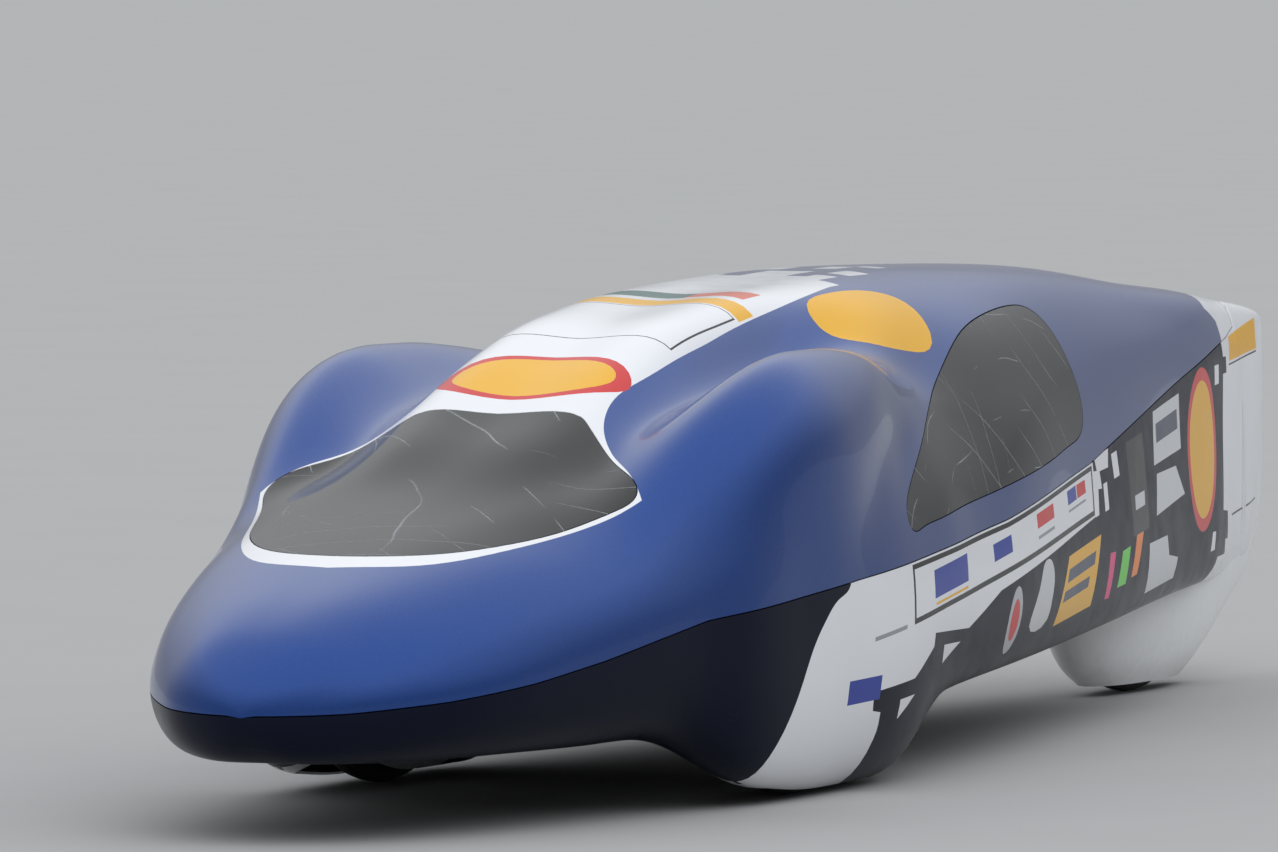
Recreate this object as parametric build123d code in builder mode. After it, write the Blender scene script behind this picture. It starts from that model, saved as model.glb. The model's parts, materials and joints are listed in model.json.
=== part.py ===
from build123d import *
import math
import os

# Low-drag three-wheeled prototype car, millimetres.
# X runs to the car's left, the nose points to -Y and Z is up. The origin is on the ground, at
# the middle of the length and of the width. "Station" is a distance behind the front axle.

# Driving dimensions
nose_overhang = 896.0
tail_overhang = 2152.0
wheelbase = 1680.0
track = 520.0
wall = 4.5
seam_gap = 0.5
pane_gap = 0.5
seat_gap = 0.3
lid_clearance = 6.0
underneath = 60.0

# Wheels
tyre_radius = 239.0
tyre_width = 44.0
rim_radius = 203.0
rim_width = 24.0
rim_depth = 12.0
web_thickness = 4.0
front_hub_radius = 21.0
front_hub_width = 58.0
rear_hub_radius = 24.0
running_gap = 0.05
nut_radius = 11.0
nut_thickness = 6.0
cut_over = 1.0

# Tyre's profile, as shares of the half-width and of the height over the rim
tread_share = 0.2
shoulder_share = 0.55
shoulder_drop = 0.08
side_low_share = 0.35
side_high_share = 0.6

# Front axle and steering
stub_radius = 7.5
stub_overhang = 2.0
kingpin_inset = 62.0
kingpin_radius = 7.0
yoke_height = 96.0
yoke_plate = 10.0
yoke_width = 40.0
lug_reach = 10.0
knuckle_block = 30.0
knuckle_gap = 0.3
knuckle_swing = 8.0
beam_radius = 15.0
beam_height = 106.0
pad_size = (70.0, 60.0, 40.0)
arm_length = 60.0
arm_level = 146.0
arm_thickness = 8.0
arm_width = 20.0
pin_radius = 3.0
pin_length = 20.0
eye_slack = 1.2
rod_radius = 4.0
eye_radius = 11.0
column_radius = 10.0
column_socket_radius = 16.0
column_top = 330.0
handlebar_width = 300.0
handlebar_radius = 8.0
stem_half = 14.0
grip_radius = 15.0
grip_length = 90.0

# Driver's cell
firewall_station = 1150.0
firewall_thickness = 6.0
hoop_station = 1010.0
hoop_tube_radius = 12.5
hoop_half_width = 176.0
hoop_shoulder = (150.0, 440.0)
hoop_crown = (60.0, 540.0)
hoop_foot_height = 190.0
hoop_radii = [60, 60, 50, 50, 60, 60]
footrest_station = -640.0
footrest_thickness = 8.0
footrest_clearance = 18.0
seat_width = 350.0
seat_thickness = 12.0
seat_front = (190.0, 104.0)
seat_bend = (330.0, 110.0)
seat_head = (940.0, 392.0)
seat_prop_station = 880.0
seat_prop_half = 146.0
seat_prop_drop = 36.0
headrest_size = (170.0, 34.0, 96.0)
headrest_setback = 4.0
headrest_rounding = 12.0

# Drive and rear wheel
stay_inset = 56.0
stay_thickness = 6.0
stay_height = 52.0
stay_reach = 36.0
rear_hub_clearance = 5.0
engine_station = 1190.0
engine_length = 170.0
engine_bottom = 168.0
engine_top = 380.0
sprocket_radius = 62.0
sprocket_thickness = 4.0
sprocket_inset = 12.0
rear_axle_radius = 6.0

length = nose_overhang + tail_overhang
front_axle_y = nose_overhang - length / 2
rear_axle_y = front_axle_y + wheelbase
wheel_x = track / 2
kingpin_x = wheel_x - kingpin_inset
axle_bore = rear_axle_radius + running_gap
sides = {"left": 1, "right": -1}

# Points of the body's skin on each section, in mm. Columns: station, then the half-width and the
# height of the keel, belly edge, widest line, hump shoulder, hump crest, valley and roof shoulder.
sections = [
    (-896, (7, 127), (17, 131), (25, 143), (22, 158), (16, 167), (10, 170), (5, 171)),
    (-880, (22, 108), (47, 113), (65, 144), (58, 168), (46, 182), (31, 189), (15, 192)),
    (-820, (50, 88), (112, 96), (136, 149), (120, 196), (92, 224), (60, 238), (30, 243)),
    (-720, (76, 85), (170, 93), (200, 158), (182, 218), (142, 255), (96, 274), (47, 281)),
    (-560, (100, 84), (220, 94), (254, 180), (238, 250), (192, 298), (131, 320), (66, 328)),
    (-400, (120, 84), (258, 97), (294, 210), (276, 290), (236, 334), (168, 360), (96, 376)),
    (-240, (130, 84), (292, 99), (332, 236), (308, 392), (252, 438), (168, 416), (108, 438)),
    (-130, (130, 85), (304, 101), (344, 246), (331, 438), (262, 490), (168, 444), (112, 478)),
    (0, (130, 85), (310, 102), (353, 252), (337, 450), (264, 514), (168, 462), (112, 518)),
    (130, (130, 85), (308, 102), (349, 258), (316, 444), (260, 512), (168, 474), (112, 540)),
    (290, (130, 87), (302, 105), (333, 268), (286, 410), (240, 477), (174, 500), (111, 558)),
    (440, (128, 94), (292, 112), (311, 276), (264, 400), (222, 465), (176, 528), (103, 570)),
    (640, (120, 100), (268, 119), (284, 288), (250, 416), (206, 496), (152, 549), (86, 577)),
    (950, (100, 110), (217, 130), (228, 306), (204, 430), (168, 510), (124, 556), (66, 574)),
    (1300, (70, 121), (156, 142), (165, 326), (148, 438), (120, 500), (86, 540), (46, 557)),
    (1620, (45, 131), (98, 152), (106, 340), (96, 440), (78, 488), (56, 516), (28, 527)),
    (1900, (22, 134), (49, 155), (55, 340), (49, 432), (39, 470), (27, 491), (14, 500)),
    (2050, (8, 146), (24, 165), (27, 336), (24, 412), (19, 452), (13, 474), (7, 484)),
    (tail_overhang, (2, 188), (8, 202), (8, 330), (7.5, 400), (6, 440), (4.5, 458), (2.5, 466)),
]

# Line where the upper shell meets the lower tub, as station and height
seam = [
    (-960, 142), (-850, 147), (-750, 155), (-630, 169), (-515, 187), (-417, 206), (-330, 222), (0, 250),
    (590, 286), (1060, 329), (1620, 408), (1930, 449), (1985, 460), (1998, 500),
]

# Fairing round the lower part of a wheel, stacked upwards. Columns: height, front station, rear
# station, half-width and the station where the parallel part ends.
front_fairing = [
    (18, -228, 214, 50, 95),
    (60, -262, 290, 58, 150),
    (120, -310, 390, 67, 200),
    (185, -304, 380, 66, 195),
    (240, -290, 350, 58, 180),
]
rear_fairing = [
    (14, 1540, 1852, 38, 1760),
    (60, 1472, 1934, 52, 1790),
    (134, 1424, 2060, 62, 1800),
    (190, 1408, 2060, 62, 1800),
]
fairing_tail_share = 0.3

# Openings for the panes. The windscreen is seen from above, as half-width and station; the side
# window is seen from the side, as station and height.
windscreen_front = (0, -641)
windscreen_bow = (190, -480)
windscreen_corner = (234, -354)
windscreen_top = (108, -227)
windscreen_floor = 260.0
windscreen_rounding = 14.0
windscreen_bulge = 2.0
side_window = [(186, 292), (250, 362), (652, 503), (800, 530), (990, 528), (1062, 450), (1040, 376), (860, 345)]
window_radii = [14, 180, 600, 500, 90, 60, 55, 600]


def at(station):
    """The y coordinate of a station."""
    return front_axle_y + station


def section_plane(station):
    """Plane across the body at a station, with local x to the left and local y up."""
    return Plane.XZ.offset(-at(station))


def inset_polygon(points, amount):
    """Closed anticlockwise polygon with every side moved inward by amount."""
    moved = []
    count = len(points)
    for index, corner in enumerate(points):
        before = points[index - 1]
        after = points[(index + 1) % count]
        arrive = Vector(corner[0] - before[0], corner[1] - before[1]).normalized()
        leave = Vector(after[0] - corner[0], after[1] - corner[1]).normalized()
        bisector = Vector(-arrive.Y - leave.Y, arrive.X + leave.X).normalized()
        shift = amount / (bisector.Y * leave.X - bisector.X * leave.Y)
        moved.append((corner[0] + bisector.X * shift, corner[1] + bisector.Y * shift))
    return moved


def skin_corners(points):
    """Corners of the polygon whose arcs pass through the given points of the skin."""
    corners = []
    for index, (x, z) in enumerate(points):
        before = points[index - 1]
        after = points[(index + 1) % len(points)]
        corners.append((x - (before[0] - 2 * x + after[0]) / 8, z - (before[1] - 2 * z + after[1]) / 8))
    return corners


def body_solid(inward):
    """Loft of the main body, with every section moved inward by the given amount.

    Each corner of a section's polygon gives one arc, which starts and ends halfway along the two
    sides beside it."""
    rows = sections if inward <= 0 else sections[1:-1]
    with BuildPart() as hull:
        for station, *half in rows:
            points = half + [(-x, z) for x, z in reversed(half)]
            corners = [Vector(x, z) for x, z in inset_polygon(skin_corners(points), inward)]
            with BuildSketch(section_plane(station)):
                with BuildLine():
                    for index, corner in enumerate(corners):
                        start = (corners[index - 1] + corner) / 2
                        end = (corner + corners[(index + 1) % len(corners)]) / 2
                        ThreePointArc(start, (start + end) / 4 + corner / 2, end)
                make_face()
        loft()
    return hull.part


def fairing_solid(rows, middle_x, inward):
    """Loft of teardrop plans stacked upwards, round the lower part of a wheel."""
    with BuildPart() as fairing:
        for height, front, rear, half_width, shoulder in rows:
            tail_radius = half_width * fairing_tail_share
            circles = [
                (front + half_width, half_width - inward),
                (shoulder, half_width - inward),
                (rear - tail_radius, tail_radius - inward),
            ]
            with BuildSketch(Plane.XY.offset(height)):
                for station, radius in circles:
                    with Locations((middle_x, at(station))):
                        Circle(radius)
                make_hull()
        loft()
    return fairing.part


def above_seam(shift):
    """Everything over the seam line, with the line moved up by shift."""
    line = [(at(station), height + shift) for station, height in seam]
    with BuildPart() as region:
        with BuildSketch(Plane.YZ):
            with BuildLine():
                Polyline((-length, line[0][1]), *line, (line[-1][0], length), (-length, length), close=True)
            make_face()
        extrude(amount=length / 2, both=True)
    return region.part


def windscreen_prism(inward):
    """Upright prism over the windscreen's plan."""
    places = (windscreen_front, windscreen_bow, windscreen_corner, windscreen_top)
    front, bow, corner, top = [(x, at(station)) for x, station in places]
    other_bow, other_corner, other_top = [(-x, y) for x, y in (bow, corner, top)]
    with BuildPart() as prism:
        with BuildSketch(Plane.XY.offset(windscreen_floor)):
            with BuildLine():
                ThreePointArc(other_bow, front, bow)
                ThreePointArc(bow, windscreen_side(bow, corner), corner)
                Polyline(corner, top, other_top, other_corner)
                ThreePointArc(other_corner, windscreen_side(other_bow, other_corner), other_bow)
            make_face()
            corners = vertices().filter_by(lambda v: v.Y > (bow[1] + corner[1]) / 2)
            fillet(corners, radius=windscreen_rounding)
            if inward:
                offset(amount=-inward)
        extrude(amount=length)
    return prism.part


def windscreen_side(near, far):
    """Point a little outside the middle of the windscreen's side curve."""
    middle = (Vector(*near) + Vector(*far)) / 2
    return middle + Vector(math.copysign(windscreen_bulge, near[0]), -windscreen_bulge)


def window_prism(inward, side):
    """Sideways prism through one side window."""
    points = [(at(station), height) for station, height in side_window]
    with BuildPart() as prism:
        with BuildSketch(Plane.YZ):
            with BuildLine():
                FilletPolyline(*points, radius=window_radii, close=True)
            make_face()
            if inward:
                offset(amount=-inward)
        extrude(amount=side * track)
    return prism.part


def slab(station, thickness):
    """Flat plate across the car, from a station rearwards, larger than any section."""
    with BuildPart() as plate:
        with BuildSketch(section_plane(station)):
            Rectangle(track * 2, track * 4)
        extrude(amount=-thickness)
    return plate.part


def wheel_profile(points, middle_x, wheel_y):
    """Solid of revolution about a wheel's axle, from points of axial offset and radius."""
    with BuildPart() as turned:
        with BuildSketch(Plane.XZ.offset(-wheel_y)):
            with BuildLine():
                Polyline(*[(middle_x + x, tyre_radius + r) for x, r in points], close=True)
            make_face()
        revolve(axis=Axis((0, wheel_y, tyre_radius), (1, 0, 0)))
    return turned.part


def x_rod(radius, start_x, end_x, y, z):
    """Round bar along X."""
    with BuildPart() as rod:
        with BuildSketch(Plane.YZ.offset(start_x)):
            with Locations((y, z)):
                Circle(radius)
        extrude(amount=end_x - start_x)
    return rod.part


def post(radius, x, y, bottom, top):
    """Upright round bar."""
    with BuildPart() as bar:
        with BuildSketch(Plane.XY.offset(bottom)):
            with Locations((x, y)):
                Circle(radius)
        extrude(amount=top - bottom)
    return bar.part


def block(low, high):
    """Box between two corners."""
    with BuildPart() as box:
        with Locations(tuple((a + b) / 2 for a, b in zip(low, high))):
            Box(*[b - a for a, b in zip(low, high)])
    return box.part


def block_at(middle_x, half_x, low, high):
    """Box centred on an x, with low and high y, z corners."""
    return block((middle_x - half_x, *low), (middle_x + half_x, *high))


parts = {}


def keep(name, shape):
    """Store a finished piece under its node name."""
    shape.label = name
    parts[name] = shape


def make_shells():
    """Body shells: the lofts joined, hollowed by their inset copies and split along the seam."""
    with BuildPart() as shell:
        add(body_solid(0))
        for side in sides.values():
            add(fairing_solid(front_fairing, side * wheel_x, 0))
        add(body_solid(wall), mode=Mode.SUBTRACT)
        for side in sides.values():
            add(fairing_solid(front_fairing, side * wheel_x, wall), mode=Mode.SUBTRACT)
        add(fairing_solid(rear_fairing, 0, wall), mode=Mode.SUBTRACT)
    with BuildPart() as tub:
        add(shell.part)
        add(above_seam(0), mode=Mode.SUBTRACT)
    keep("lower_tub", tub.part)
    with BuildPart() as lid:
        add(shell.part)
        add(above_seam(seam_gap), mode=Mode.INTERSECT)
    with BuildPart() as windscreen:
        add(lid.part)
        add(windscreen_prism(pane_gap), mode=Mode.INTERSECT)
    keep("windshield", windscreen.part)
    for name, side in sides.items():
        with BuildPart() as pane:
            add(lid.part)
            add(window_prism(pane_gap, side), mode=Mode.INTERSECT)
        keep(f"side_window_{name}", pane.part)
    with BuildPart() as upper:
        add(lid.part)
        add(windscreen_prism(0), mode=Mode.SUBTRACT)
        for side in sides.values():
            add(window_prism(0, side), mode=Mode.SUBTRACT)
    keep("upper_shell", upper.part)
    with BuildPart() as spat:
        add(fairing_solid(rear_fairing, 0, 0))
        add(fairing_solid(rear_fairing, 0, wall), mode=Mode.SUBTRACT)
        add(body_solid(-seat_gap), mode=Mode.SUBTRACT)
    keep("rear_spat", spat.part.solids().sort_by(SortBy.VOLUME)[-1])


def make_wheel(name, middle_x, wheel_y, hub_radius, hub_half, bore):
    """Tyre, rim with its web, and hub of one wheel."""
    half_tyre = tyre_width / 2
    half_rim = rim_width / 2
    crown = tyre_radius - rim_radius
    tyre = [
        (-half_rim, rim_radius),
        (-half_tyre, rim_radius + crown * side_low_share),
        (-half_tyre, rim_radius + crown * side_high_share),
        (-half_tyre * shoulder_share, tyre_radius - crown * shoulder_drop),
        (-half_tyre * tread_share, tyre_radius),
        (half_tyre * tread_share, tyre_radius),
        (half_tyre * shoulder_share, tyre_radius - crown * shoulder_drop),
        (half_tyre, rim_radius + crown * side_high_share),
        (half_tyre, rim_radius + crown * side_low_share),
        (half_rim, rim_radius),
    ]
    keep(f"tyre_{name}", wheel_profile(tyre, middle_x, wheel_y))
    half_web = web_thickness / 2
    bed = rim_radius - rim_depth
    rim = [
        (-half_web, hub_radius),
        (-half_web, bed),
        (-half_rim, bed),
        (-half_rim, rim_radius),
        (half_rim, rim_radius),
        (half_rim, bed),
        (half_web, bed),
        (half_web, hub_radius),
    ]
    keep(f"rim_{name}", wheel_profile(rim, middle_x, wheel_y))
    hub = [(-hub_half, bore), (-hub_half, hub_radius), (hub_half, hub_radius), (hub_half, bore)]
    keep(f"hub_{name}", wheel_profile(hub, middle_x, wheel_y))


def make_front_axle(cavity):
    """Beam on the floor with a yoke at each end, kingpins, knuckles and the steering."""
    y = front_axle_y
    lug_top = tyre_radius + yoke_height / 2
    lug_bottom = tyre_radius - yoke_height / 2
    upright_x = kingpin_x - knuckle_block / 2 - yoke_plate / 2 - knuckle_swing
    half_width = yoke_width / 2
    half_block = knuckle_block / 2
    lug_middle = (upright_x + kingpin_x) / 2
    lug_half = (kingpin_x - upright_x) / 2 + lug_reach
    pad_middle = upright_x - pad_size[0] / 2
    with BuildPart() as beam:
        add(x_rod(beam_radius, -upright_x, upright_x, y, beam_height))
        add(post(column_socket_radius, 0, y, beam_height, arm_level - arm_thickness))
        for side in sides.values():
            add(block_at(side * upright_x, yoke_plate / 2, (y - half_width, beam_height - beam_radius),
                         (y + half_width, lug_top)))
            add(block_at(side * lug_middle, lug_half, (y - half_block, lug_top - yoke_plate),
                         (y + half_block, lug_top)))
            add(block_at(side * lug_middle, lug_half, (y - half_block, lug_bottom),
                         (y + half_block, lug_bottom + yoke_plate)))
            add(block_at(side * pad_middle, pad_size[0] / 2, (y - pad_size[1] / 2, beam_height - pad_size[2]),
                         (y + pad_size[1] / 2, beam_height)))
        for side in sides.values():
            add(post(kingpin_radius + running_gap, side * kingpin_x, y, lug_bottom - cut_over, lug_top + cut_over),
                mode=Mode.SUBTRACT)
        add(post(column_radius + running_gap, 0, y, beam_height + beam_radius, column_top), mode=Mode.SUBTRACT)
        add(cavity, mode=Mode.INTERSECT)
    keep("front_axle_beam", beam.part)
    for name, side in sides.items():
        x = side * kingpin_x
        keep(f"kingpin_{name}", post(kingpin_radius, x, y, lug_bottom, lug_top))
        web_x = x + side * (half_block + arm_thickness / 2)
        stub_end = side * (wheel_x + front_hub_width / 2 + nut_thickness + stub_overhang)
        with BuildPart() as knuckle:
            add(block_at(x, half_block, (y - half_block, lug_bottom + yoke_plate + knuckle_gap),
                         (y + half_block, lug_top - yoke_plate - knuckle_gap)))
            add(x_rod(stub_radius, x, stub_end, y, tyre_radius))
            add(block_at(web_x, arm_thickness / 2, (y - arm_width / 2, arm_level),
                         (y + arm_width / 2, tyre_radius)))
            with BuildSketch(Plane.XY.offset(arm_level)):
                with Locations((web_x, y)):
                    Circle(arm_width / 2)
                with Locations((x, y + arm_length)):
                    Circle(arm_width / 2)
                make_hull()
            extrude(amount=arm_thickness)
            add(post(pin_radius, x, y + arm_length, arm_level, arm_level + pin_length))
            add(post(kingpin_radius + running_gap, x, y, arm_level + arm_thickness, lug_top), mode=Mode.SUBTRACT)
        keep(f"knuckle_{name}", knuckle.part)
        nut_x = side * (wheel_x + front_hub_width / 2 + knuckle_gap)
        with BuildPart() as nut:
            add(x_rod(nut_radius, nut_x, nut_x + side * nut_thickness, y, tyre_radius))
            add(x_rod(stub_radius + running_gap, nut_x - side * cut_over, nut_x + side * (nut_thickness + cut_over),
                      y, tyre_radius), mode=Mode.SUBTRACT)
        keep(f"axle_nut_{name}", nut.part)
    eye_level = arm_level + arm_thickness + seam_gap
    with BuildPart() as rod:
        add(x_rod(rod_radius, -kingpin_x, kingpin_x, y + arm_length, eye_level + arm_thickness / 2))
        for x in (-kingpin_x, 0, kingpin_x):
            add(post(eye_radius, x, y + arm_length, eye_level, eye_level + arm_thickness))
        for x in (-kingpin_x, 0, kingpin_x):
            add(post(pin_radius + eye_slack, x, y + arm_length, eye_level - cut_over,
                     eye_level + arm_thickness + cut_over), mode=Mode.SUBTRACT)
    keep("tie_rod", rod.part)
    with BuildPart() as column:
        add(post(column_radius, 0, y, beam_height + beam_radius + knuckle_gap, column_top))
        add(x_rod(handlebar_radius, -handlebar_width / 2, handlebar_width / 2, y, column_top))
        add(block_at(0, stem_half, (y - stem_half, column_top - stem_half),
                     (y + stem_half, column_top + stem_half)))
        with BuildSketch(Plane.XY.offset(arm_level)):
            with Locations((0, y), (0, y + arm_length)):
                Circle(arm_width / 2)
            make_hull()
        extrude(amount=arm_thickness)
        add(post(pin_radius, 0, y + arm_length, arm_level, arm_level + pin_length))
    keep("steering_column", column.part)
    for name, side in sides.items():
        grip_x = side * handlebar_width / 2
        with BuildPart() as grip:
            add(x_rod(grip_radius, grip_x - side * grip_length, grip_x, y, column_top))
            add(x_rod(handlebar_radius, grip_x - side * grip_length, grip_x, y, column_top), mode=Mode.SUBTRACT)
        keep(f"grip_{name}", grip.part)


def make_cell(cavity, lid_cavity):
    """Firewall, roll hoop, seat with its headrest, and footrest."""
    with BuildPart() as firewall_foot:
        add(slab(firewall_station, firewall_thickness))
        add(cavity, mode=Mode.INTERSECT)
        add(above_seam(-lid_clearance), mode=Mode.SUBTRACT)
    with BuildPart() as firewall:
        add(slab(firewall_station, firewall_thickness))
        add(lid_cavity, mode=Mode.INTERSECT)
        add(firewall_foot.part)
    keep("firewall", firewall.part)
    hoop_y = at(hoop_station)
    foot_x = hoop_half_width
    with BuildPart() as hoop:
        with BuildLine() as path:
            right = [(foot_x, hoop_foot_height), hoop_shoulder, hoop_crown]
            points = right + [(-x, z) for x, z in reversed(right)]
            points = [(foot_x, underneath)] + points + [(-foot_x, underneath)]
            FilletPolyline(*[(x, hoop_y, z) for x, z in points], radius=hoop_radii)
        with BuildSketch(Plane(origin=path.line @ 0, z_dir=path.line % 0)):
            Circle(hoop_tube_radius)
        sweep()
        add(cavity, mode=Mode.INTERSECT)
    keep("roll_hoop", hoop.part)
    floor_plate_y = (at(seat_front[0]), at(seat_bend[0]))
    prop_y = at(seat_prop_station)
    with BuildPart() as seat:
        with BuildSketch(Plane.YZ):
            with BuildLine():
                Polyline(*[(at(station), height) for station, height in (seat_front, seat_bend, seat_head)])
                offset(amount=seat_thickness / 2, side=Side.BOTH)
            make_face()
        extrude(amount=seat_width / 2, both=True)
        add(block_at(0, seat_prop_half, (prop_y - seat_thickness, underneath),
                     (prop_y, seat_head[1] - seat_prop_drop)))
        add(block_at(0, seat_prop_half, (floor_plate_y[0], underneath), (floor_plate_y[1], seat_front[1])))
        add(cavity, mode=Mode.INTERSECT)
    keep("seat", seat.part)
    slope = math.atan2(seat_head[1] - seat_bend[1], seat_head[0] - seat_bend[0])
    rest = Plane(
        origin=(0, at(seat_head[0]), seat_head[1]),
        x_dir=(1, 0, 0),
        z_dir=(0, -math.sin(slope), math.cos(slope)),
    )
    rest_lift = seat_thickness / 2 + seat_gap + headrest_size[1] / 2
    with BuildPart(rest) as headrest:
        with Locations((0, -headrest_size[2] / 2 - headrest_setback, rest_lift)):
            Box(headrest_size[0], headrest_size[2], headrest_size[1])
        fillet(headrest.edges(), radius=headrest_rounding)
    keep("headrest", headrest.part)
    with BuildPart() as footrest:
        add(slab(footrest_station, footrest_thickness))
        add(cavity, mode=Mode.INTERSECT)
        add(above_seam(-footrest_clearance), mode=Mode.SUBTRACT)
    keep("footrest", footrest.part)


def make_drive(cavity):
    """Stays from the firewall to the rear axle, engine block on its mount, axle and sprocket."""
    start_y = at(firewall_station + firewall_thickness)
    inner = stay_inset - stay_thickness / 2
    engine_y = (at(engine_station), at(engine_station + engine_length))
    for name, side in sides.items():
        with BuildPart() as stay:
            add(block_at(side * stay_inset, stay_thickness / 2, (start_y, tyre_radius - stay_height / 2),
                         (rear_axle_y + stay_reach, tyre_radius + stay_height / 2)))
            add(x_rod(axle_bore, -track / 2, track / 2, rear_axle_y, tyre_radius), mode=Mode.SUBTRACT)
        keep(f"stay_{name}", stay.part)
    keep("engine_block", block_at(0, inner - seat_gap, (engine_y[0], engine_bottom), (engine_y[1], engine_top)))
    with BuildPart() as mount:
        add(block_at(0, inner - seat_gap, (engine_y[0], underneath), (engine_y[1], engine_bottom)))
        add(cavity, mode=Mode.INTERSECT)
    keep("engine_mount", mount.part)
    half_axle = stay_inset + stay_thickness / 2 + nut_thickness + seat_gap
    with BuildPart() as axle:
        add(x_rod(rear_axle_radius, -half_axle, half_axle, rear_axle_y, tyre_radius))
        for side in sides.values():
            add(x_rod(nut_radius, side * (half_axle - nut_thickness), side * half_axle, rear_axle_y, tyre_radius))
    keep("rear_axle", axle.part)
    hub_half = inner - rear_hub_clearance
    make_wheel("rear", 0, rear_axle_y, rear_hub_radius, hub_half, axle_bore)
    sprocket_x = sprocket_inset - hub_half
    sprocket = [
        (sprocket_x, rear_hub_radius),
        (sprocket_x, sprocket_radius),
        (sprocket_x + sprocket_thickness, sprocket_radius),
        (sprocket_x + sprocket_thickness, rear_hub_radius),
    ]
    keep("rear_sprocket", wheel_profile(sprocket, 0, rear_axle_y))


cavity_fit = body_solid(wall + seat_gap)
make_shells()
make_front_axle(cavity_fit)
for name, side in sides.items():
    make_wheel(f"front_{name}", side * wheel_x, front_axle_y, front_hub_radius, front_hub_width / 2,
               stub_radius + running_gap)
make_cell(cavity_fit, body_solid(wall + lid_clearance))
make_drive(cavity_fit)

os.makedirs("parts", exist_ok=True)
for name, shape in parts.items():
    export_step(shape, f"parts/{name}.step")
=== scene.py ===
import json
import math

import bmesh
import bpy
import numpy as np
from mathutils import Matrix, Vector
from mathutils.bvhtree import BVHTree
from mathutils.interpolate import poly_3d_calc


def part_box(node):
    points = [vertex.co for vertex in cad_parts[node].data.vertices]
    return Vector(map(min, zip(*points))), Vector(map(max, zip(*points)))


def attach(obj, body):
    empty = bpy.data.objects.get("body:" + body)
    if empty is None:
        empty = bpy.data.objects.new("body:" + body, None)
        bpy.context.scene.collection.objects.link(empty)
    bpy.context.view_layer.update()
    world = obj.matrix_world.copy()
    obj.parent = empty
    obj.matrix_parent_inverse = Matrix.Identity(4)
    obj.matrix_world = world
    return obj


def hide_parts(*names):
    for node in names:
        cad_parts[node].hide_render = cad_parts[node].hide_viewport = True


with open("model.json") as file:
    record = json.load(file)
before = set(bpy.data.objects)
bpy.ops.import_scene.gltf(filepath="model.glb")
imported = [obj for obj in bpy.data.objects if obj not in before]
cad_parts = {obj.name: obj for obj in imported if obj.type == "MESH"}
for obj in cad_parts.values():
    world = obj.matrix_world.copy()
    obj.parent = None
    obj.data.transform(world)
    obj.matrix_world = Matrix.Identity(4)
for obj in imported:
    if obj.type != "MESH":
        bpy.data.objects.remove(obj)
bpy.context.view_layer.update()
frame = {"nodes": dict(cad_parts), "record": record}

mm = 0.001
front_axle_y = -0.628
rear_axle_y = 1.052
wheel_x = 0.26
tyre_radius = 0.239
tyre_steps = 144
tyre_crease = math.radians(40)
wall = 0.0035
seam_gap = 0.0015
pane_gap = 0.0012
pane_wall = 0.003
merge_distance = 0.0002

# A loop of paint is cut into the faces near it that look the right way, in mm and as a cosine
trace_reach = 40.0
trace_slope = 0.03
trace_snap = 0.02
shortest_edge = 1e-6

# Cosine from which a wall's face takes the skin's smooth normal and not its own
smooth_share = 0.35

# Headrest
headrest_size = (0.164, 0.090, 0.028)
headrest_bevel = 0.011
headrest_crown = 0.16
headrest_waist = (0.045, 0.06)
seat_slope = math.radians(24.8)

# Camera, as fitted to the wheels' contact points and the body's outline
camera_azimuth = math.radians(24.5)
camera_pitch = math.radians(2.829)
camera_roll = math.radians(0.302)
camera_distance = 14.0
camera_target = Vector((0.0, -0.466, 0.414))
focal_pixels = 11903.0
picture_width = 1278.0
sensor_width = 36.0
view_reach = 1000.0

# Studio: a plain floor that is as bright as the horizon, a sky that grows lighter between two
# heights, and one wide, soft sun that shows in no reflection
floor_half_size = 400.0
floor_colour = (0.4, 0.4, 0.4)
horizon_colour = (0.3, 0.305, 0.315)
sky_colour = (0.94, 0.97, 1.0)
sky_climb = (0.12, 0.55)
sky_strength = 1.1
sun_direction = Vector((0.35, -0.5, 0.8))
sun_strength = 0.7
sun_width = math.radians(60)

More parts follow.
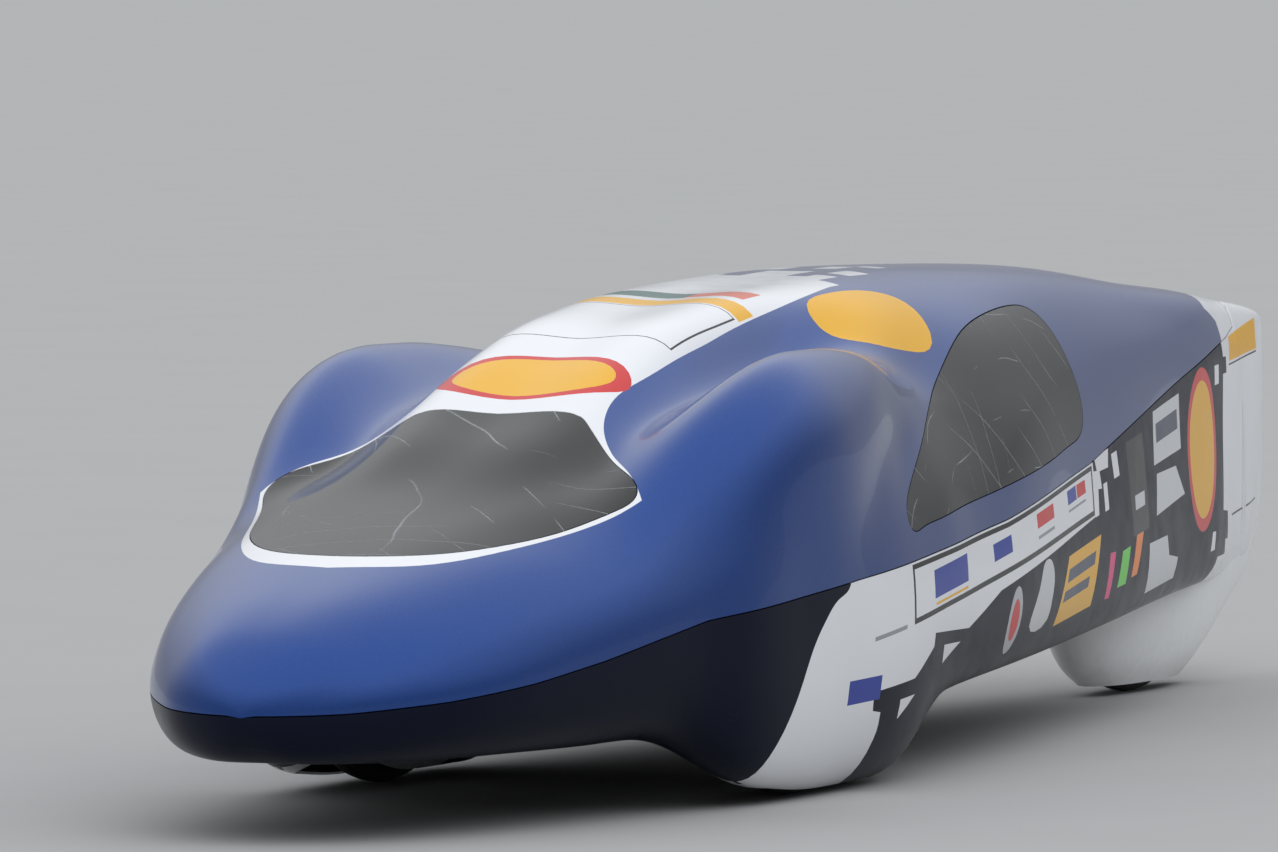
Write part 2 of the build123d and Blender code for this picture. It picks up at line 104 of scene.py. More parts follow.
# Half sections of the body skin, in mm. Columns: station, height of the belly, half-width of the
# flat keel, then half-width and height of the spat's inner edge, the spat's outer edge, the widest
# line, the crease under the hump, the hump's shoulder, the hump's crest, the valley and the roof
# shoulder, then the height of the roof.
body_rows = [
    (-897, 143, 0, (0, 143), (0, 143), (0, 143), (0, 143), (0, 143),
     (0, 143), (0, 143), (0, 143), 143),
    (-880, 108, 20, (39, 112), (55, 125), (65, 144), (64, 156), (58, 170),
     (46, 182), (31, 189), (15, 192), 193),
    (-820, 88, 46, (88, 92), (120, 110), (136, 149), (132, 174), (118, 198),
     (92, 224), (60, 238), (30, 243), 244),
    (-720, 85, 74, (143, 89), (182, 112), (200, 158), (194, 192), (178, 223),
     (142, 255), (96, 274), (47, 281), 282),
    (-560, 84, 100, (190, 88), (234, 112), (254, 180), (249, 220), (232, 258),
     (192, 298), (131, 320), (66, 328), 330),
    (-400, 84, 120, (223, 88), (270, 112), (294, 210), (288, 255), (270, 298),
     (236, 334), (168, 360), (96, 376), 380),
    (-320, 84, 130, (212, 84), (280, 88), (312, 226), (303, 284), (282, 342),
     (244, 384), (168, 384), (104, 408), 412),
    (-240, 84, 130, (204, 74), (296, 42), (332, 236), (323, 318), (302, 394),
     (252, 438), (168, 416), (108, 438), 442),
    (-130, 85, 130, (199, 44), (306, 19), (344, 246), (342, 346), (329, 440),
     (262, 490), (168, 444), (112, 478), 484),
    (-50, 85, 130, (198, 28), (307, 13), (351, 250), (349, 352), (336, 452),
     (264, 509), (168, 456), (112, 504), 510),
    (30, 85, 130, (198, 25), (307, 12), (353, 254), (345, 340), (333, 447),
     (264, 513), (168, 464), (112, 525), 533),
    (130, 85, 130, (198, 26), (304, 12), (350, 258), (326, 378), (317, 448),
     (261, 510), (168, 473), (112, 540), 549),
    (220, 86, 130, (200, 40), (294, 19), (341, 264), (304, 394), (292, 456),
     (254, 500), (170, 484), (112, 551), 559),
    (290, 87, 130, (204, 68), (289, 52), (333, 268), (288, 406), (272, 459),
     (243, 489), (172, 499), (111, 558), 564),
    (360, 91, 130, (208, 88), (290, 85), (324, 272), (275, 408), (251, 458),
     (230, 479), (176, 513), (109, 564), 569),
    (440, 94, 128, (206, 94), (286, 98), (311, 276), (258, 412), (242, 440),
     (219, 470), (176, 528), (103, 570), 574),
    (640, 100, 120, (190, 101), (266, 108), (284, 288), (256, 392), (237, 436),
     (202, 498), (152, 549), (86, 577), 581),
    (950, 110, 100, (162, 110), (216, 116), (228, 306), (212, 404), (196, 450),
     (166, 512), (124, 556), (66, 574), 578),
    (1300, 121, 70, (116, 121), (156, 127), (165, 326), (153, 416), (142, 456),
     (119, 502), (86, 540), (46, 557), 561),
    (1620, 131, 45, (76, 131), (99, 137), (106, 340), (99, 424), (92, 456),
     (77, 490), (56, 516), (28, 527), 530),
    (1790, 133, 30, (56, 134), (72, 143), (76, 340), (71, 424), (65, 452),
     (54, 484), (39, 504), (20, 513), 516),
    (1900, 134, 18, (39, 136), (50, 150), (55, 338), (51, 420), (47, 446),
     (38, 473), (27, 493), (13, 501), 504),
    (1960, 138, 12, (29, 141), (39, 157), (44, 334), (41, 414), (38, 436),
     (31, 462), (22, 484), (11, 493), 496),
    (2050, 147, 6, (14, 150), (22, 168), (27, 330), (25, 402), (23, 428),
     (19, 453), (13, 474), (7, 484), 487),
    (2107, 160, 2, (5, 166), (9, 192), (16, 330), (15, 398), (14, 422),
     (11, 446), (8, 467), (4, 476), 479),
    (2140, 196, 1, (2.5, 202), (4.5, 230), (7, 332), (7, 396), (6.5, 420),
     (5.5, 443), (4, 461), (2.2, 469), 471),
    (2150, 238, 1, (1.8, 242), (3, 262), (4.5, 332), (4.5, 390), (4.2, 415),
     (3.6, 440), (2.8, 456), (1.6, 464), 466),
]

# How far behind its last row the tail closes, in mm
tail_rounding = 2.5

# How finely the skins are drawn: the step between rows in mm, the samples between two points of a
# row, and the columns on each side. skin_spread evens out the bends between near and far points.
# The seam lies above the first seam_from_span spans of a row.
skin_step = 12.0
skin_spread = 0.7
least_span = 1e-3
samples_a_span = 60
seam_from_span = 3.2
lid_columns = 50
tub_columns = 56
skirt_columns = 48
skirt_rounds = 26
curve_steps = 5
coarse_steps = 4

# Line where the upper shell meets the tub, as station and height in mm
seam_points = [
    (-960, 142), (-850, 147), (-750, 155), (-630, 169), (-515, 187), (-417, 206), (-330, 222), (0, 250),
    (590, 286), (1060, 329), (1620, 408), (1930, 449), (1985, 460), (1998, 500),
]

# Panes, in mm: the windscreen from above, as half-width and station, and the side window from the
# side, as station and height.
windscreen_points = [
    (0, -641), (72, -629), (139, -578), (190, -480), (219, -396), (232, -364), (230, -347), (199, -314),
    (150, -264), (118, -236), (104, -226), (0, -228),
]
side_window_points = [
    (192, 296), (184, 306), (189, 322), (215, 340), (267, 363), (336, 391), (440, 425), (548, 464),
    (652, 503), (769, 523), (914, 530), (1000, 518), (1040, 484), (1056, 432), (1055, 394), (1032, 370),
    (960, 356), (860, 345), (672, 329), (531, 318), (387, 309), (295, 302), (237, 297),
]

# Openings under the wheels, in mm, as x and station from below
front_wheel_opening = [
    (256, -196), (290, -176), (301, -120), (301, 110), (290, 168), (256, 190), (222, 168), (212, 110),
    (212, -120), (222, -176),
]
rear_wheel_opening = [
    (0, 1436), (26, 1452), (34, 1500), (34, 1840), (26, 1900), (0, 1918), (-26, 1900), (-34, 1840),
    (-34, 1500), (-26, 1452),
]

# Rear wheel's skirt, in mm. Columns: height, then station and half-width of the points of the half
# outline, from its front to its tail.
skirt_rows = [
    (14, (1542, 0), (1554, 16), (1590, 30), (1655, 37), (1732, 36), (1792, 26), (1834, 13), (1858, 0)),
    (34, (1502, 0), (1518, 21), (1562, 38), (1645, 47), (1735, 46), (1812, 36), (1857, 20), (1882, 0)),
    (60, (1474, 0), (1492, 25), (1544, 46), (1640, 54), (1742, 53), (1836, 43), (1898, 25), (1934, 0)),
    (100, (1446, 0), (1468, 29), (1528, 51), (1634, 60), (1748, 58), (1874, 46), (1964, 27), (2014, 0)),
    (134, (1426, 0), (1450, 31), (1516, 54), (1628, 62), (1755, 59), (1895, 47), (2020, 24), (2084, 0)),
    (160, (1416, 0), (1442, 32), (1508, 55), (1624, 62), (1755, 59), (1905, 48), (2050, 20), (2112, 0)),
    (200, (1408, 0), (1436, 32), (1504, 55), (1622, 62), (1755, 58), (1905, 47), (2060, 18), (2136, 0)),
]

# Paint, in mm. A side loop is seen from the side, as station and height. A top loop is seen from
# above, as x and station.
flash_front = [
    (-18, 262), (-30, 241), (-58, 230), (-86, 211), (-117, 181), (-143, 143), (-172, 98), (-198, 60),
    (-222, 20), (-244, -20),
]
flash_rest = [
    (40, -20), (53, 18), (68, 71), (67, 92), (44, 95), (41, 117), (166, 125), (238, 157), (243, 173),
    (392, 169), (529, 205), (618, 215), (850, 240), (1060, 264), (1066, 300), (1070, 360), (-10, 330),
]
strip_edge = [(166, 257), (590, 283), (1060, 326), (1048, 265), (158, 188)]
strip_face = [(172, 251.4), (590, 277.2), (1053, 319.6), (1042.5, 271), (165, 195)]
tail_edge = [
    (1885, 640), (1885, 424), (1903, 424), (1900, 403), (1877, 402), (1872, 381), (1832, 227),
    (1869, 224), (1875, 188), (1853, 188), (1860, 168), (1797, 168), (1788, 156), (1752, 138),
    (1752, -20), (2300, -20), (2300, 640),
]
side_marks = [
    ("blue_mark", [(243, 213), (386, 225.5), (390, 258), (246, 246)]),
    ("yellow_mark", [(246, 205), (384, 217), (384, 220), (246, 208)]),
    ("blue_mark", [(508, 240), (592, 247.5), (594, 268), (510, 260.5)]),
    ("red_mark", [(724, 267), (820, 275.5), (821, 293), (725, 284.5)]),
    ("grey_mark", [(724, 254), (816, 262), (816, 266), (724, 258)]),
    ("blue_mark", [(905, 285), (957, 290), (958, 307), (906, 302)]),
    ("red_mark", [(961, 290.5), (1012, 295), (1013, 311), (962, 307)]),
    ("grey_mark", [(905, 276), (1006, 285), (1006, 288), (905, 279)]),
    ("blue_mark", [(-30, 106), (58, 108), (60, 136), (-28, 134)]),
    ("grey_mark", [(36, 176), (132, 185), (133, 190), (37, 181)]),
    ("white_film", [(287, 156), (361, 155), (287, 134)]),
    ("white_film", [(123, 103), (173, 106), (123, 80)]),
    ("white_film", [(1079, 334), (1161, 342), (1149, 319), (1086, 316)]),
    ("white_film", [(1066, 318), (1100, 318), (1103, 295), (1058, 296)]),
    ("white_film", [(1054, 296.5), (1082, 295.5), (1072, 264), (1051, 262)]),
    ("white_film", [(1112, 300), (1134, 302), (1130, 268), (1108, 266)]),
    ("white_film", [(1174, 334), (1206, 337), (1208, 306), (1176, 303)]),
    ("yellow_mark", [(886, 224), (1073, 240), (1013, 155), (807, 143)]),
    ("dark_mark", [(884, 208), (1040, 222), (1028, 206), (872, 192)]),
    ("dark_mark", [(858, 182), (1000, 193), (990, 180), (846, 169)]),
    ("pink_mark", [(1092, 158), (1116, 158), (1150, 214), (1120, 214)]),
    ("green_mark", [(1160, 168), (1208, 170), (1236, 216), (1190, 212)]),
    ("orange_mark", [(1240, 176), (1274, 178), (1318, 232), (1276, 228)]),
    ("pale_mark", [(1437, 374), (1599, 390), (1586, 320), (1413, 307)]),
    ("dark_mark", [(1446, 358), (1580, 371), (1576, 346), (1440, 334)]),
    ("pale_mark", [(1424, 296), (1545, 300), (1586, 262), (1402, 244)]),
    ("pale_mark", [(1351, 212), (1464, 216), (1476, 190), (1535, 184), (1520, 158), (1344, 149)]),
    ("black_mark", [(1262, 344), (1362, 352), (1352, 232), (1256, 226)]),
    ("pale_mark", [(1282, 276), (1340, 280), (1336, 262), (1279, 258)]),
    ("white_film", [(1824, 415), (1852, 416), (1846, 391), (1818, 390)]),
    ("white_film", [(1751, 203), (1772, 203), (1768, 179), (1741, 178)]),
    ("yellow_mark", [(1938, 448), (2110, 466), (2100, 426), (1920, 417)]),
    ("black_mark", [(1918, 413.5), (2098, 424), (2098, 421.8), (1917, 411.3)]),
    ("black_mark", [(1906, 218), (2096, 229.5), (2096, 227), (1905, 215)]),
]
roof_front = [(0, -676), (85, -656), (146, -594), (188, -502), (216, -420), (240, -358)]
roof_side = [
    (240, -358), (197, -308), (150, -254), (132, -225), (121, -190), (118, -154), (123, -96), (126, -29),
    (127, 58), (125, 121), (123, 216), (120, 380), (114, 463),
]
roof_steps = [(114, 492), (86, 492), (86, 552), (58, 552), (58, 522), (30, 522), (30, 612), (0, 612)]
top_marks = [
    ("white_film", [(58, 582), (88, 582), (88, 642), (58, 642)]),
    ("white_film", [(0, 672), (30, 672), (30, 732), (0, 732)]),
    ("white_film", [(-60, 642), (-30, 642), (-30, 702), (-60, 702)]),
    ("white_film", [(30, 732), (60, 732), (60, 762), (30, 762)]),
    ("black_mark", [(-118, -6), (118, -6), (118, 176), (-118, 176)]),
    ("white_film", [(-116, -4), (116, -4), (116, 174), (-116, 174)]),
    ("yellow_mark", [(-121, 181), (121, 181), (121, 222), (-121, 222)]),
    ("green_grey_mark", [(-104, 244), (20, 244), (20, 296), (-104, 296)]),
    ("coral_mark", [(20, 244), (98, 244), (98, 296), (20, 296)]),
]
roof_oval = [(138, 345), (126, 436), (137, 530), (168, 592), (192, 586), (203, 499), (191, 388), (160, 340)]
tail_top = [
    (-100, 1864), (-34, 1864), (-34, 1850), (-14, 1850), (-14, 1880), (14, 1880), (14, 1852), (40, 1852),
    (41, 1890), (100, 1890), (100, 2300), (-100, 2300),
]
tail_oval = ((1715, 312), (90, 105))
tail_tilt = 0.24
side_oval = ((595, 165), (30, 40))
side_tilt = 0.35
roof_disc = ((0, -130), (121, 62))
disc_share = 0.84
oval_share = 0.62
arch_mark = [(672, 152), (764, 154), (785, 178), (798, 205), (790, 222), (770, 228), (742, 222), (716, 196)]

# Slots past the paint's own, for faces that are parted off as panes or left out
screen_slot = 40
gap_slot = 41
pane_slots = {"left": 42, "right": 43}
opening_slot = 44


def at(station):
    """The y coordinate of a station in metres."""
    return front_axle_y + station


def spline(knots, values, wanted):
    """Smooth curve through rows of values, read at the wanted places along the knots."""
    count = len(knots)
    steps = np.diff(knots)
    system = np.zeros((count, count))
    right = np.zeros((count, values.shape[1]))
    system[0, 0] = 1.0
    system[-1, -1] = 1.0
    for i in range(1, count - 1):
        system[i, i - 1] = steps[i - 1]
        system[i, i] = 2 * (steps[i - 1] + steps[i])
        system[i, i + 1] = steps[i]
        right[i] = 6 * ((values[i + 1] - values[i]) / steps[i] - (values[i] - values[i - 1]) / steps[i - 1])
    bend = np.linalg.solve(system, right)
    span = np.clip(np.searchsorted(knots, wanted) - 1, 0, count - 2)
    step = steps[span][:, None]
    near = (wanted - knots[span])[:, None]
    far = step - near
    curved = (bend[span] * far**3 + bend[span + 1] * near**3) / (6 * step)
    start = (values[span] / step - bend[span] * step / 6) * far
    end = (values[span + 1] / step - bend[span + 1] * step / 6) * near
    return curved + start + end


def table_rows():
    """The body's table as an array of half outlines, from the belly's middle to the roof's."""
    rows = []
    for station, belly, keel, *middle, roof in body_rows:
        outline = [(0, belly), (keel, belly), *middle, (0, roof)]
        rows.append([station] + [number for point in outline for number in point])
    return np.array(rows, float)


def fine_rows():
    """The table's rows closed up to one every skin_step, with the nose rounded off."""
    rows = table_rows()
    tip = rows[0]
    mirrored = []
    for k in (3, 2, 1):
        row = 2 * tip - rows[k]
        row[0] = rows[k][0]
        mirrored.append(row)
    rows = np.vstack([mirrored, rows])
    moved = np.linalg.norm(np.diff(rows[:, 1:], axis=0), axis=1) / 6
    knots = np.concatenate([[0], np.cumsum(np.abs(np.diff(rows[:, 0])) + moved)])
    wanted = [knots[3]]
    for start, end in zip(knots[3:-1], knots[4:]):
        count = max(3, round((end - start) / skin_step))
        wanted.extend(np.linspace(start, end, count + 1)[1:])
    return spline(knots, rows, np.array(wanted))


def half_outline(row):
    """Dense half outline of one section, as half-width and height in mm."""
    points = row[1:].reshape(-1, 2)
    mirror = points * [-1, 1]
    around = np.vstack([mirror[3:0:-1], points, mirror[-2:-5:-1]])
    steps = np.linalg.norm(np.diff(around, axis=0), axis=1) ** skin_spread
    knots = np.concatenate([[0], np.cumsum(steps + least_span)])
    wanted = []
    for i in range(3, 3 + len(points) - 1):
        wanted.extend(np.linspace(knots[i], knots[i + 1], samples_a_span, endpoint=False))
    wanted.append(knots[3 + len(points) - 1])
    return spline(knots, around, np.array(wanted))


def seam_height(station):
    """Height of the seam at a station, in mm."""
    stations, heights = zip(*seam_points)
    return float(np.interp(station, stations, heights))


def seam_place(outline, height):
    """How far along a half outline it passes the given height, counted in samples."""
    first = int(seam_from_span * samples_a_span)
    climbing = np.maximum.accumulate(outline[first:, 1])
    above = int(np.searchsorted(climbing, height))
    if above == 0:
        return float(first)
    if above >= len(climbing):
        return float(len(outline) - 1)
    low, high = climbing[above - 1], climbing[above]
    return first + above - 1 + (height - low) / max(high - low, 1e-9)


def read_outline(outline, places):
    """Points of a half outline at places counted in samples."""
    index = np.arange(len(outline))
    return np.stack([np.interp(places, index, outline[:, k]) for k in range(2)], axis=1)


def skin_sections(upper, half_count):
    """Rows of points across the upper or the lower skin, from the car's left to its right."""
    sections = []
    for row in fine_rows():
        outline = half_outline(row)
        last = len(outline) - 1
        roof = outline[last, 1]
        gap = seam_gap / mm / 2
        seam = seam_height(row[0]) + (gap if upper else -gap)
        if upper and seam >= roof and row[0] > 0:
            sections.append((row[0] - gap, np.tile([0.0, roof], (2 * half_count + 1, 1))))
            break
        place = seam_place(outline, seam)
        if upper:
            places = np.linspace(place, last, half_count + 1)
        else:
            places = np.linspace(place if seam < roof else last, 0, half_count + 1)
        half = read_outline(outline, places)
        half[-1, 0] = 0
        whole = np.vstack([half, half[-2::-1] * [-1, 1]])
        sections.append((row[0], whole))
    if not upper:
        station, whole = sections[-1]
        sections.append((station + tail_rounding, whole * [0, 1]))
    return sections


def new_object(name, mesh):
    """Puts a mesh in the scene under a name, smoothly shaded."""
    piece = bpy.data.objects.new(name, mesh)
    bpy.context.scene.collection.objects.link(piece)
    for face in mesh.polygons:
        face.use_smooth = True
    return piece


def mesh_of(bm, name):
    """Ends a bmesh and returns its mesh."""
    mesh = bpy.data.meshes.new(name)
    bm.to_mesh(mesh)
    bm.free()
    return mesh


def settle(piece):
    """Replaces a piece's mesh by what its modifiers make of it."""
    evaluated = piece.evaluated_get(bpy.context.evaluated_depsgraph_get())
    mesh = bpy.data.meshes.new_from_object(evaluated)
    old = piece.data
    piece.modifiers.clear()
    piece.data = mesh
    bpy.data.meshes.remove(old)
    for face in piece.data.polygons:
        face.use_smooth = True


def body_skin(upper, half_count):
    """One half of the body's skin, as a grid laid on its sections."""
    sections = skin_sections(upper, half_count)
    bm = bmesh.new()
    across = 2 * half_count
    bmesh.ops.create_grid(bm, x_segments=across, y_segments=len(sections) - 1, size=1.0)
    bm.verts.ensure_lookup_table()
    for j, (station, points) in enumerate(sections):
        for i, (x, z) in enumerate(points):
            bm.verts[j * (across + 1) + i].co = (x * mm, at(station * mm), z * mm)
    bmesh.ops.remove_doubles(bm, verts=bm.verts, dist=merge_distance)
    bmesh.ops.recalc_face_normals(bm, faces=bm.faces)
    middle = max(bm.faces, key=lambda f: f.calc_center_median().z if upper else -f.calc_center_median().z)
    if (middle.normal.z > 0) != upper:
        bmesh.ops.reverse_faces(bm, faces=bm.faces)
    return bm


def open_curve(points, steps):
    """Smooth curve through points in a plane, with its ends kept."""
    knots = np.array(points, float)
    spans = np.concatenate([[0], np.cumsum(np.linalg.norm(np.diff(knots, axis=0), axis=1) ** skin_spread)])
    wanted = []
    for start, end in zip(spans, spans[1:]):
        wanted.extend(np.linspace(start, end, steps, endpoint=False))
    return spline(spans, knots, np.append(wanted, spans[-1])).tolist()


def closed_curve(points, steps):
    """A closed smooth outline through points in a plane."""
    loop = np.array(points, float)
    around = np.vstack([loop[-3:], loop, loop[:3]])
    knots = np.concatenate([[0], np.cumsum(np.linalg.norm(np.diff(around, axis=0), axis=1) ** skin_spread)])
    wanted = []
    for i in range(3, 3 + len(loop)):
        wanted.extend(np.linspace(knots[i], knots[i + 1], steps, endpoint=False))
    return spline(knots, around, np.array(wanted)).tolist()


def oval(middle, half, share=1.0, tilt=0.0, count=40):
    """Points round an oval of the given half sizes."""
    points = []
    for k in range(count):
        turn = 2 * math.pi * k / count
        a = half[0] * share * math.cos(turn)
        b = half[1] * share * math.sin(turn)
        points.append((middle[0] + a + b * tilt, middle[1] + b))
    return points


def mirrored_loop(half):
    """A whole loop from the half of it whose x is positive, which starts and ends on the middle."""
    return half + [(-x, station) for x, station in half[-2:0:-1]]


def shrunk(points, amount):
    """A closed outline moved inward by amount."""
    loop = np.array(points, float)
    along = np.roll(loop, -1, axis=0) - np.roll(loop, 1, axis=0)
    along /= np.linalg.norm(along, axis=1)[:, None]
    area = np.sum(loop[:, 0] * np.roll(loop[:, 1], -1) - np.roll(loop[:, 0], -1) * loop[:, 1])
    inward = np.stack([-along[:, 1], along[:, 0]], axis=1) * math.copysign(1, area)
    return (loop + inward * amount).tolist()


def seen(point, view):
    """Where a point falls in the side view or the top view, in mm."""
    station = (point.y - front_axle_y) / mm
    if view == "side":
        return station, point.z / mm
    return point.x / mm, station


def within(point, loop):
    """Whether a place in a view lies inside a loop."""
    x, y = point
    inside = False
    ax, ay = loop[-1]
    for bx, by in loop:
        if (ay > y) != (by > y) and x < ax + (y - ay) * (bx - ax) / (by - ay):
            inside = not inside
        ax, ay = bx, by
    return inside


def placed(face, view):
    """A face with its corners in a view, and the box round them."""
    places = [seen(vert.co, view) for vert in face.verts]
    across = [x for x, _ in places]
    along = [y for _, y in places]
    return face, places, min(across), max(across), min(along), max(along)


def trace(bm, view, loop, facing, slot):
    """Cuts a loop into a skin and gives the faces inside it a material slot. facing is the
    direction in which the faces look that the loop is drawn on."""
    loop = [tuple(point) for point in loop]
    low = [min(p[k] for p in loop) - trace_reach for k in range(2)]
    high = [max(p[k] for p in loop) + trace_reach for k in range(2)]
    pool = []
    for face in bm.faces:
        x, y = seen(face.verts[0].co, view)
        if low[0] < x < high[0] and low[1] < y < high[1] and face.normal.dot(facing) > trace_slope:
            pool.append(placed(face, view))
    for (ax, ay), (bx, by) in zip(loop, loop[1:] + loop[:1]):
        size = math.hypot(bx - ax, by - ay)
        if size < shortest_edge:
            continue
        dx, dy = (bx - ax) / size, (by - ay) / size
        left, right = min(ax, bx) - trace_snap, max(ax, bx) + trace_snap
        near, far = min(ay, by) - trace_snap, max(ay, by) + trace_snap
        crossed = []
        rest = []
        for item in pool:
            face, places, x_low, x_high, y_low, y_high = item
            touched = False
            if x_low < right and x_high > left and y_low < far and y_high > near:
                off = [(x - ax) * -dy + (y - ay) * dx for x, y in places]
                touched = min(off) < -trace_snap and max(off) > trace_snap
            (crossed if touched else rest).append(item)
        if not crossed:
            continue
        faces = [item[0] for item in crossed]
        edges = {edge for face in faces for edge in face.edges}
        verts = {vert for face in faces for vert in face.verts}
        if view == "side":
            place = (0, at(ax * mm), ay * mm)
            normal = (0, -dy, dx)
        else:
            place = (ax * mm, at(ay * mm), 0)
            normal = (-dy, dx, 0)
        made = bmesh.ops.bisect_plane(bm, geom=faces + list(edges) + list(verts), dist=trace_snap * mm,
                                      plane_co=place, plane_no=normal)
        pool = rest + [placed(item, view) for item in made["geom"] if isinstance(item, bmesh.types.BMFace)]
    for face, *_ in pool:
        if within(seen(face.calc_center_median(), view), loop):
            face.material_index = slot


def shading_of(bm):
    """What shade_like needs of an uncut skin: a search tree, and the corners and normals of its faces."""
    bm.normal_update()
    bm.faces.index_update()
    corners = [[v.co.copy() for v in face.verts] for face in bm.faces]
    normals = [[v.normal.copy() for v in face.verts] for face in bm.faces]
    return BVHTree.FromBMesh(bm), corners, normals


def shade_like(piece, shading):
    """Shades a cut wall like the uncut skin, outside and inside, and leaves its rims sharp."""
    tree, corners, normals = shading
    mesh = piece.data
    smooth = []
    for vertex in mesh.vertices:
        place, _, index, _ = tree.find_nearest(vertex.co)
        weights = poly_3d_calc(corners[index], place)
        normal = Vector((0, 0, 0))
        for weight, corner_normal in zip(weights, normals[index]):
            normal += weight * corner_normal
        smooth.append(normal.normalized())
    wanted = [None] * len(mesh.loops)
    for face in mesh.polygons:
        for k in face.loop_indices:
            normal = smooth[mesh.loops[k].vertex_index]
            tilt = normal.dot(face.normal)
            if abs(tilt) > smooth_share:
                wanted[k] = normal * math.copysign(1, tilt)
            else:
                wanted[k] = face.normal
    mesh.normals_split_custom_set([tuple(normal) for normal in wanted])


def part_of(bm, slots):
    """A copy of the faces of a skin that have one of the given slots."""
    part = bm.copy()
    others = [face for face in part.faces if face.material_index not in slots]
    bmesh.ops.delete(part, geom=others, context="FACES")
    return part


def walled(name, bm, materials, thickness, shading):
    """Makes a piece of a skin, with a wall on its inner side in the last material."""
    piece = new_object(name, mesh_of(bm, name))
    for material in materials:
        piece.data.materials.append(material)
    solid = piece.modifiers.new("wall", "SOLIDIFY")
    solid.thickness = thickness
    solid.offset = -1.0
    solid.use_even_offset = False
    solid.material_offset = len(materials)
    settle(piece)
    shade_like(piece, shading)
    return piece


def skirt_skin(rounds, half_count):
    """The rear wheel's skirt, as a grid laid on its plans."""
    heights = np.array([row[0] for row in skirt_rows], float)
    plans = np.array([np.array(row[1:], float).ravel() for row in skirt_rows])
    wanted = np.linspace(heights[0], heights[-1], rounds + 1)
    levels = spline(heights, plans, wanted)
    bm = bmesh.new()
    across = 2 * half_count
    bmesh.ops.create_grid(bm, x_segments=across, y_segments=rounds, size=1.0)
    bm.verts.ensure_lookup_table()
    for j, (height, plan) in enumerate(zip(wanted, levels)):
        half = plan.reshape(-1, 2)
        mirror = half * [1, -1]
        around = np.vstack([mirror[3:0:-1], half, mirror[-2:-5:-1]])
        steps = np.linalg.norm(np.diff(around, axis=0), axis=1) ** skin_spread
        spans = np.concatenate([[0], np.cumsum(steps)])
        places = np.linspace(spans[3], spans[3 + len(half) - 1], half_count + 1)
        line = spline(spans, around, places)
        line[0, 1] = 0
        line[-1, 1] = 0
        whole = np.vstack([line, line[-2::-1] * [1, -1]])
        for i, (station, x) in enumerate(whole):
            bm.verts[j * (across + 1) + i].co = (x * mm, at(station * mm), height * mm)
    bmesh.ops.remove_doubles(bm, verts=bm.verts, dist=merge_distance)
    bmesh.ops.recalc_face_normals(bm, faces=bm.faces)
    widest = max(bm.faces, key=lambda f: f.calc_center_median().x)
    if widest.normal.x < 0:
        bmesh.ops.reverse_faces(bm, faces=bm.faces)
    return bm


def turned(name, profile, centre, steps):
    """A ring turned about a wheel's axle, from a closed profile of axial offset and radius."""
    bm = bmesh.new()
    verts = [bm.verts.new((centre[0] + x, centre[1], centre[2] + r)) for x, r in profile]
    edges = [bm.edges.new((a, b)) for a, b in zip(verts, verts[1:] + verts[:1])]
    bmesh.ops.spin(bm, geom=verts + edges, cent=centre, axis=(1, 0, 0), angle=2 * math.pi, steps=steps,
                   use_merge=True, use_duplicate=False)
    bmesh.ops.remove_doubles(bm, verts=bm.verts, dist=0.00001)
    bmesh.ops.recalc_face_normals(bm, faces=bm.faces)
    return new_object(name, mesh_of(bm, name))


# Materials


def start_material(name):
    """An empty material's tree, its shader and the piece's own coordinates."""
    material = bpy.data.materials.new(name)
    material.use_nodes = True
    tree = material.node_tree
    place = tree.nodes.new("ShaderNodeTexCoord").outputs["Object"]
    return material, tree, tree.nodes["Principled BSDF"], place


def put(tree, kind, links=(), **values):
    """Adds a node, sets its sockets by name and links the given outputs to its sockets."""
    made = tree.nodes.new(kind)
    for name, value in values.items():
        if hasattr(made, name):
            setattr(made, name, value)
        else:
            made.inputs[name.replace("_", " ")].default_value = value
    for socket, output in links:
        tree.links.new(output, made.inputs[socket])
    return made


def noise(tree, place, scale, detail=2.0, stretch=None):
    """Noise in the piece's coordinates, stretched where it is brushed or woven."""
    if stretch:
        place = put(tree, "ShaderNodeMapping", [("Vector", place)], Scale=stretch).outputs["Vector"]
    return put(tree, "ShaderNodeTexNoise", [("Vector", place)], Scale=scale, Detail=detail).outputs["Fac"]


def spread(tree, value, low, high, start=0.0, end=1.0):
    """Maps a value from one range to another."""
    return put(tree, "ShaderNodeMapRange", [("Value", value)], From_Min=start, From_Max=end, To_Min=low,
               To_Max=high).outputs["Result"]


def mix(tree, share, first, second):
    """Mixes two colours, each given as numbers or as an output."""
    made = tree.nodes.new("ShaderNodeMix")
    made.data_type = "RGBA"
    tree.links.new(share, made.inputs[0])
    for index, colour in ((6, first), (7, second)):
        if isinstance(colour, tuple):
            made.inputs[index].default_value = (*colour, 1)
        else:
            tree.links.new(colour, made.inputs[index])
    return made.outputs[2]


def scaled(colour, share):
    return tuple(min(1.0, part * share) for part in colour)


def bumped(tree, shader, height, distance, strength=1.0):
    """Links a bump to the shader's normal."""
    bump = put(tree, "ShaderNodeBump", [("Height", height)], Distance=distance, Strength=strength)
    tree.links.new(bump.outputs["Normal"], shader.inputs["Normal"])


